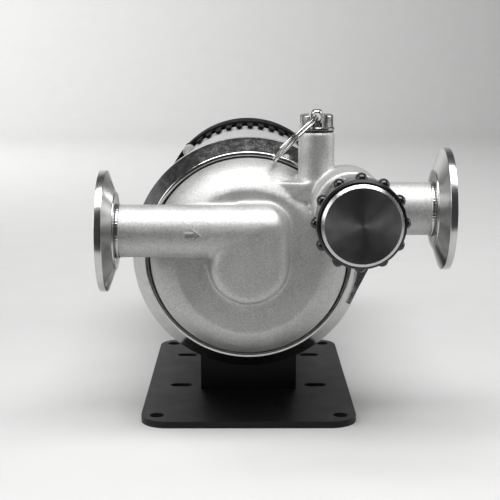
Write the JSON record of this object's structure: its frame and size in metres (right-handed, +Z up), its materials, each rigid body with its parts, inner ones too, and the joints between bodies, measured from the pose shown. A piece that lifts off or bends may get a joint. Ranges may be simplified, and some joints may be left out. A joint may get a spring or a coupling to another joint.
{
  "type": "brewing pump",
  "caption": "Magnetically driven pump with a clamped stainless head, side inlet and outlet ferrules, a turned flow valve with a lobed knob, a bleed valve with pull ring and a flat base.",
  "frame": {"origin": "centre of the four corner holes on the underside of the base plate", "axes": "+Z up, +Y along the pump shaft from the wet head to the rear cowl, +X to the outlet side seen from the front"},
  "size_m": [0.1442, 0.2868, 0.1373],
  "materials": {
    "cast_steel": "bead-blasted investment casting, satin",
    "polished_steel": "polished",
    "fastener_steel": "bright",
    "black_coated_steel": "semi-gloss black coating",
    "silver_paint": "satin silver-grey paint",
    "machined_aluminium": "machined",
    "black_anodised": "turned face, black anodised, bright bevel",
    "black_plastic": "moulded, satin",
    "grey_polymer": "filled polymer",
    "white_ceramic": "ground ceramic",
    "black_carbon": "carbon",
    "dark_magnet": "sintered magnet",
    "lamination_steel": "stacked laminations",
    "copper_wire": "enamelled copper wire",
    "black_rubber": "matte"
  },
  "bodies": {
    "pump_frame": {"base_plate": "black_coated_steel", "motor_saddle": "black_coated_steel", "saddle_screws": "fastener_steel", "motor_screws": "fastener_steel", "head_casting": "cast_steel", "inlet_ferrule": "polished_steel", "outlet_ferrule": "polished_steel", "head_oring": "black_rubber", "containment_can": "grey_polymer", "impeller_shaft": "white_ceramic", "front_thrust_washer": "white_ceramic", "rear_thrust_washer": "white_ceramic", "motor_adapter": "silver_paint", "front_bearing": "fastener_steel", "rear_bearing": "fastener_steel", "stator_stack": "lamination_steel", "stator_windings": "copper_wire", "motor_shell": "silver_paint", "rear_end_bell": "machined_aluminium", "rear_cowl": "black_plastic", "cowl_screws": "fastener_steel", "cable_gland": "black_plastic", "clamp_lower_half": "polished_steel", "clamp_hinge_pin": "fastener_steel", "clamp_bolt_pin": "fastener_steel", "valve_bonnet": "polished_steel", "bonnet_oring": "black_rubber", "stem_oring": "black_rubber", "vent_body": "polished_steel", "vent_gasket": "black_rubber", "vent_spring": "fastener_steel"},
    "impeller_rotor": {"impeller": "grey_polymer", "impeller_bush": "black_carbon", "impeller_magnet": "dark_magnet"},
    "motor_rotor": {"motor_shaft": "fastener_steel", "drive_hub": "machined_aluminium", "drive_magnets": "dark_magnet", "hub_set_screw": "fastener_steel", "rotor_core": "lamination_steel", "cooling_fan": "black_plastic"},
    "clamp_top": {"clamp_upper_half": "polished_steel"},
    "swing_bolt": {"clamp_bolt": "fastener_steel"},
    "bolt_washer": {"clamp_washer": "fastener_steel"},
    "wing_nut": {"clamp_wing_nut": "fastener_steel"},
    "plunger": {"valve_plunger": "polished_steel", "plunger_oring": "black_rubber", "plunger_clip": "fastener_steel"},
    "knob": {"valve_stem": "polished_steel", "knob_core": "black_anodised", "knob_grip": "black_plastic", "knob_set_screw": "fastener_steel"},
    "vent_valve": {"vent_stem": "polished_steel", "vent_seal": "black_rubber"},
    "pull_ring": {"vent_pull_ring": "fastener_steel"}
  },
  "joints": [
    {"name": "valve_travel", "type": "slide", "parent": "pump_frame", "child": "plunger", "axis": [0, 1, 0], "range_m": [0, 0.009]},
    {"name": "knob_turn", "type": "hinge", "parent": "plunger", "child": "knob", "pos_m": [0.0417, -0.1265, 0.0981], "axis": [0, 1, 0], "range_deg": [0, 1080]},
    {"name": "vent_lift", "type": "slide", "parent": "pump_frame", "child": "vent_valve", "axis": [0, 0, 1], "range_m": [0, 0.0025], "stiffness_N_per_m": 600, "springref_m": -0.002, "deforming": ["vent_spring"]},
    {"name": "ring_swing", "type": "hinge", "parent": "vent_valve", "child": "pull_ring", "pos_m": [0.0286, -0.0668, 0.1341], "axis": [0, 1, 0], "range_deg": [0, 180]},
    {"name": "rotor_spin", "type": "hinge", "parent": "pump_frame", "child": "motor_rotor", "pos_m": [0, 0.0335, 0.073], "axis": [0, 1, 0], "continuous": true},
    {"name": "impeller_spin", "type": "hinge", "parent": "pump_frame", "child": "impeller_rotor", "pos_m": [0, -0.0465, 0.073], "axis": [0, 1, 0], "continuous": true},
    {"name": "bolt_swing", "type": "hinge", "parent": "pump_frame", "child": "swing_bolt", "pos_m": [0.0585, -0.0465, 0.0745], "axis": [0, 1, 0], "range_deg": [0, 100]},
    {"name": "washer_travel", "type": "slide", "parent": "swing_bolt", "child": "bolt_washer", "axis": [0, 0, 1], "range_m": [0, 0.00635]},
    {"name": "wing_nut_turn", "type": "hinge", "parent": "bolt_washer", "child": "wing_nut", "pos_m": [0.0585, -0.0465, 0.091], "axis": [0, 0, 1], "range_deg": [0, 1440]},
    {"name": "clamp_open", "type": "hinge", "parent": "pump_frame", "child": "clamp_top", "pos_m": [-0.0533, -0.0465, 0.0765], "axis": [0, -1, 0], "range_deg": [0, 1.75]}
  ],
  "couplings": [
    {"joint": "valve_travel", "follows": "knob_turn", "m_per_rad": 0.00047746},
    {"joint": "impeller_spin", "follows": "rotor_spin", "ratio": 1},
    {"joint": "washer_travel", "follows": "clamp_open", "m_per_rad": 0.2079},
    {"joint": "wing_nut_turn", "follows": "clamp_open", "ratio": 822.86}
  ]
}
